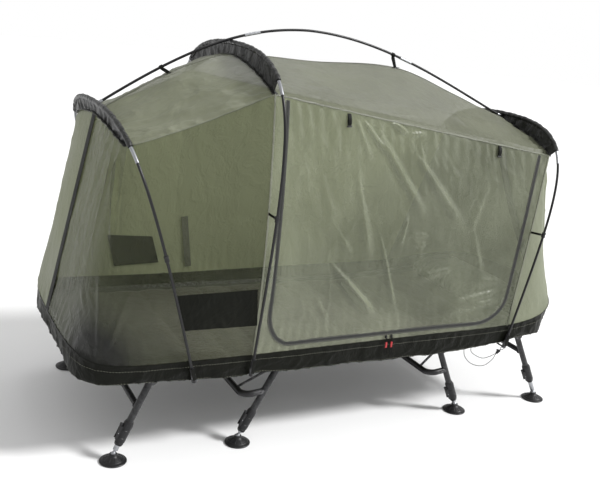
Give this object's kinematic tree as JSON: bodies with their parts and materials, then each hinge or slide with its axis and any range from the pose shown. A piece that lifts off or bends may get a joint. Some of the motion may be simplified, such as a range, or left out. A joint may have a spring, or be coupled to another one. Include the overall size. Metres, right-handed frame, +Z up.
{
  "type": "fishing bivvy",
  "caption": "Hooped one-person fishing tent fixed to a low folding bed, with a ridge pole, a mesh foot panel, a long zipped side door and swivelling mud feet.",
  "frame": {"origin": "on the ground below the middle of the object's outline", "axes": "+X along the bed from the foot end to the head end, +Y from the door side to the far side, +Z up"},
  "size_m": [2.19, 1.1218, 1.524],
  "materials": {
    "steel": "black satin powder coat on steel tube",
    "alloy": "plain drawn tube",
    "plastic": "black moulded",
    "fibre": "black glass-fibre pole",
    "olive": "coated tent cloth, slight sheen",
    "mesh": "open mosquito mesh",
    "green": "coated tent cloth",
    "dark": "heavy coated cloth",
    "gathered": "black gathered cloth and webbing",
    "quilt": "brushed quilted cloth",
    "red": "red painted zip slider"
  },
  "bodies": {
    "bivvy": {"frame_foot": "steel", "frame_head": "steel", "rail_middle_near": "steel", "rail_middle_far": "steel", "section_hinge_foot_near": "steel", "section_hinge_foot_far": "steel", "section_hinge_head_near": "steel", "section_hinge_head_far": "steel", "deck": "dark", "mattress": "quilt", "pillow": "quilt", "hoop_1": "fibre", "hoop_2": "fibre", "hoop_3": "fibre", "ridge_pole": "fibre", "ridge_hanger_1": "gathered", "ridge_hanger_2": "gathered", "fin_1": "gathered", "fin_2": "gathered", "fin_3": "gathered", "tub": "dark", "wall_foot_near": "mesh", "wall_foot_far": "green", "wall_main_far": "olive", "wall_head": "olive", "roof": "olive", "door_surround": "olive", "cord_lock": "plastic", "drawcord": "gathered"},
    "leg_pair_1": {"leg_frame_1": "steel"},
    "inner_leg_1_near": {"inner_leg_1_near": "alloy"},
    "mud_foot_1_near": {"mud_foot_1_near": "plastic"},
    "lock_lever_1_near": {"lock_lever_1_near": "plastic"},
    "inner_leg_1_far": {"inner_leg_1_far": "alloy"},
    "mud_foot_1_far": {"mud_foot_1_far": "plastic"},
    "lock_lever_1_far": {"lock_lever_1_far": "plastic"},
    "leg_pair_2": {"leg_frame_2": "steel"},
    "inner_leg_2_near": {"inner_leg_2_near": "alloy"},
    "mud_foot_2_near": {"mud_foot_2_near": "plastic"},
    "lock_lever_2_near": {"lock_lever_2_near": "plastic"},
    "inner_leg_2_far": {"inner_leg_2_far": "alloy"},
    "mud_foot_2_far": {"mud_foot_2_far": "plastic"},
    "lock_lever_2_far": {"lock_lever_2_far": "plastic"},
    "leg_pair_3": {"leg_frame_3": "steel"},
    "inner_leg_3_near": {"inner_leg_3_near": "alloy"},
    "mud_foot_3_near": {"mud_foot_3_near": "plastic"},
    "lock_lever_3_near": {"lock_lever_3_near": "plastic"},
    "inner_leg_3_far": {"inner_leg_3_far": "alloy"},
    "mud_foot_3_far": {"mud_foot_3_far": "plastic"},
    "lock_lever_3_far": {"lock_lever_3_far": "plastic"},
    "leg_pair_4": {"leg_frame_4": "steel"},
    "inner_leg_4_near": {"inner_leg_4_near": "alloy"},
    "mud_foot_4_near": {"mud_foot_4_near": "plastic"},
    "lock_lever_4_near": {"lock_lever_4_near": "plastic"},
    "inner_leg_4_far": {"inner_leg_4_far": "alloy"},
    "mud_foot_4_far": {"mud_foot_4_far": "plastic"},
    "lock_lever_4_far": {"lock_lever_4_far": "plastic"},
    "door": {"door": "olive"},
    "zip_slider_1": {"zip_slider_1": "red"},
    "zip_slider_2": {"zip_slider_2": "red"}
  },
  "joints": [
    {"name": "leg_fold_1", "type": "hinge", "parent": "bivvy", "child": "leg_pair_1", "pos_m": [-0.81, 0, 0.302], "axis": [0, -1, 0], "range_deg": [0, 68]},
    {"name": "leg_slide_1_near", "type": "slide", "parent": "leg_pair_1", "child": "inner_leg_1_near", "axis": [-0.4092, 0, -0.9124], "range_m": [0, 0.11]},
    {"name": "foot_swivel_1_near", "type": "hinge", "parent": "inner_leg_1_near", "child": "mud_foot_1_near", "pos_m": [-0.932, -0.41, 0.03], "axis": [0, 1, 0], "range_deg": [-20, 20]},
    {"name": "lever_pull_1_near", "type": "hinge", "parent": "leg_pair_1", "child": "lock_lever_1_near", "pos_m": [-0.91939, -0.41, 0.11065], "axis": [0, -1, 0], "range_deg": [0, 8], "stiffness_Nm_per_rad": 0.3, "springref_deg": -1.15},
    {"name": "leg_slide_1_far", "type": "slide", "parent": "leg_pair_1", "child": "inner_leg_1_far", "axis": [-0.4092, 0, -0.9124], "range_m": [0, 0.11]},
    {"name": "foot_swivel_1_far", "type": "hinge", "parent": "inner_leg_1_far", "child": "mud_foot_1_far", "pos_m": [-0.932, 0.41, 0.03], "axis": [0, 1, 0], "range_deg": [-20, 20]},
    {"name": "lever_pull_1_far", "type": "hinge", "parent": "leg_pair_1", "child": "lock_lever_1_far", "pos_m": [-0.91939, 0.41, 0.11065], "axis": [0, -1, 0], "range_deg": [0, 8], "stiffness_Nm_per_rad": 0.3, "springref_deg": -1.15},
    {"name": "leg_fold_2", "type": "hinge", "parent": "bivvy", "child": "leg_pair_2", "pos_m": [-0.32, 0, 0.302], "axis": [0, -1, 0], "range_deg": [0, 68]},
    {"name": "leg_slide_2_near", "type": "slide", "parent": "leg_pair_2", "child": "inner_leg_2_near", "axis": [-0.4628, 0, -0.8865], "range_m": [0, 0.12]},
    {"name": "foot_swivel_2_near", "type": "hinge", "parent": "inner_leg_2_near", "child": "mud_foot_2_near", "pos_m": [-0.462, -0.41, 0.03], "axis": [0, 1, 0], "range_deg": [-20, 20]},
    {"name": "lever_pull_2_near", "type": "hinge", "parent": "leg_pair_2", "child": "lock_lever_2_near", "pos_m": [-0.45202, -0.41, 0.09558], "axis": [0, -1, 0], "range_deg": [0, 8], "stiffness_Nm_per_rad": 0.3, "springref_deg": -1.15},
    {"name": "leg_slide_2_far", "type": "slide", "parent": "leg_pair_2", "child": "inner_leg_2_far", "axis": [-0.4628, 0, -0.8865], "range_m": [0, 0.12]},
    {"name": "foot_swivel_2_far", "type": "hinge", "parent": "inner_leg_2_far", "child": "mud_foot_2_far", "pos_m": [-0.462, 0.41, 0.03], "axis": [0, 1, 0], "range_deg": [-20, 20]},
    {"name": "lever_pull_2_far", "type": "hinge", "parent": "leg_pair_2", "child": "lock_lever_2_far", "pos_m": [-0.45202, 0.41, 0.09558], "axis": [0, -1, 0], "range_deg": [0, 8], "stiffness_Nm_per_rad": 0.3, "springref_deg": -1.15},
    {"name": "leg_fold_3", "type": "hinge", "parent": "bivvy", "child": "leg_pair_3", "pos_m": [0.42, 0, 0.302], "axis": [0, 1, 0], "range_deg": [0, 68]},
    {"name": "leg_slide_3_near", "type": "slide", "parent": "leg_pair_3", "child": "inner_leg_3_near", "axis": [0.4312, 0, -0.9022], "range_m": [0, 0.12]},
    {"name": "foot_swivel_3_near", "type": "hinge", "parent": "inner_leg_3_near", "child": "mud_foot_3_near", "pos_m": [0.55, -0.41, 0.03], "axis": [0, 1, 0], "range_deg": [-20, 20]},
    {"name": "lever_pull_3_near", "type": "hinge", "parent": "leg_pair_3", "child": "lock_lever_3_near", "pos_m": [0.50096, -0.41, 0.08276], "axis": [0, -1, 0], "range_deg": [0, 8], "stiffness_Nm_per_rad": 0.3, "springref_deg": -1.15},
    {"name": "leg_slide_3_far", "type": "slide", "parent": "leg_pair_3", "child": "inner_leg_3_far", "axis": [0.4312, 0, -0.9022], "range_m": [0, 0.12]},
    {"name": "foot_swivel_3_far", "type": "hinge", "parent": "inner_leg_3_far", "child": "mud_foot_3_far", "pos_m": [0.55, 0.41, 0.03], "axis": [0, 1, 0], "range_deg": [-20, 20]},
    {"name": "lever_pull_3_far", "type": "hinge", "parent": "leg_pair_3", "child": "lock_lever_3_far", "pos_m": [0.50096, 0.41, 0.08276], "axis": [0, -1, 0], "range_deg": [0, 8], "stiffness_Nm_per_rad": 0.3, "springref_deg": -1.15},
    {"name": "leg_fold_4", "type": "hinge", "parent": "bivvy", "child": "leg_pair_4", "pos_m": [0.83138, 0, 0.32859], "axis": [0, 1, 0], "range_deg": [0, 68]},
    {"name": "leg_slide_4_near", "type": "slide", "parent": "leg_pair_4", "child": "inner_leg_4_near", "axis": [0.4806, 0, -0.877], "range_m": [0, 0.08]},
    {"name": "foot_swivel_4_near", "type": "hinge", "parent": "inner_leg_4_near", "child": "mud_foot_4_near", "pos_m": [0.995, -0.41, 0.03], "axis": [0, 1, 0], "range_deg": [-20, 20]},
    {"name": "lever_pull_4_near", "type": "hinge", "parent": "leg_pair_4", "child": "lock_lever_4_near", "pos_m": [0.92196, -0.41, 0.11854], "axis": [0, -1, 0], "range_deg": [0, 8], "stiffness_Nm_per_rad": 0.3, "springref_deg": -1.15},
    {"name": "leg_slide_4_far", "type": "slide", "parent": "leg_pair_4", "child": "inner_leg_4_far", "axis": [0.4806, 0, -0.877], "range_m": [0, 0.08]},
    {"name": "foot_swivel_4_far", "type": "hinge", "parent": "inner_leg_4_far", "child": "mud_foot_4_far", "pos_m": [0.995, 0.41, 0.03], "axis": [0, 1, 0], "range_deg": [-20, 20]},
    {"name": "lever_pull_4_far", "type": "hinge", "parent": "leg_pair_4", "child": "lock_lever_4_far", "pos_m": [0.92196, 0.41, 0.11854], "axis": [0, -1, 0], "range_deg": [0, 8], "stiffness_Nm_per_rad": 0.3, "springref_deg": -1.15},
    {"name": "door_swing", "type": "hinge", "parent": "bivvy", "child": "door", "pos_m": [0.21211, -0.39802, 1.20091], "axis": [-0.9886, -0.0495, 0.1418], "range_deg": [0, 100]},
    {"name": "zip_run_1", "type": "slide", "parent": "bivvy", "child": "zip_slider_1", "axis": [-0.9999, -0.0032, -0.0124], "range_m": [0, 0.26]},
    {"name": "zip_run_2", "type": "slide", "parent": "bivvy", "child": "zip_slider_2", "axis": [0.9999, 0.0032, 0.0124], "range_m": [0, 0.3]}
  ]
}
